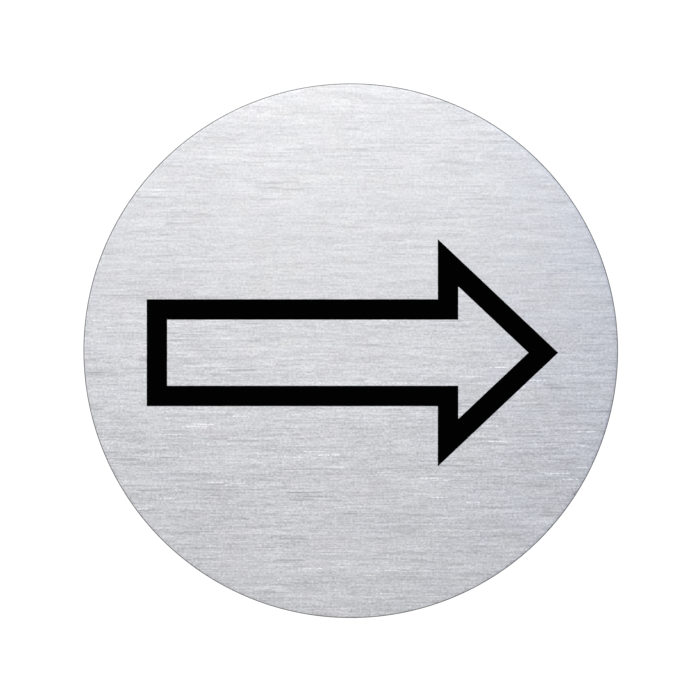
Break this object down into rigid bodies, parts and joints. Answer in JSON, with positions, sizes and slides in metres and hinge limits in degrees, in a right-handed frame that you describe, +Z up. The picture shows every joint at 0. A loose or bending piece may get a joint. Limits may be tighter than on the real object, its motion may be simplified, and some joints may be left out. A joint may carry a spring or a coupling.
{
  "type": "arrow sign",
  "caption": "Round brushed steel wall or door sign with a black outline arrow pointing right, stuck up by a foam adhesive pad on its back.",
  "frame": {"origin": "centre of the pad's rear adhesive face, in the plane of the wall that the sign is stuck to", "axes": "+X is the way the arrow points, +Z is up, and +Y goes into the wall, so the printed face looks along -Y"},
  "size_m": [0.08, 0.0025, 0.08],
  "materials": {
    "brushed_steel": "stainless steel brushed in one direction, along the arrow, with fine streaks; satin",
    "black_ink": "opaque screen-printed ink, deep black, with a low sheen",
    "pad_foam": "off-white closed-cell foam with a clear, slightly glossy adhesive on its rear face"
  },
  "bodies": {
    "root": {"face_disc": "brushed_steel", "arrow_print": "black_ink", "adhesive_pad": "pad_foam"}
  },
  "joints": []
}
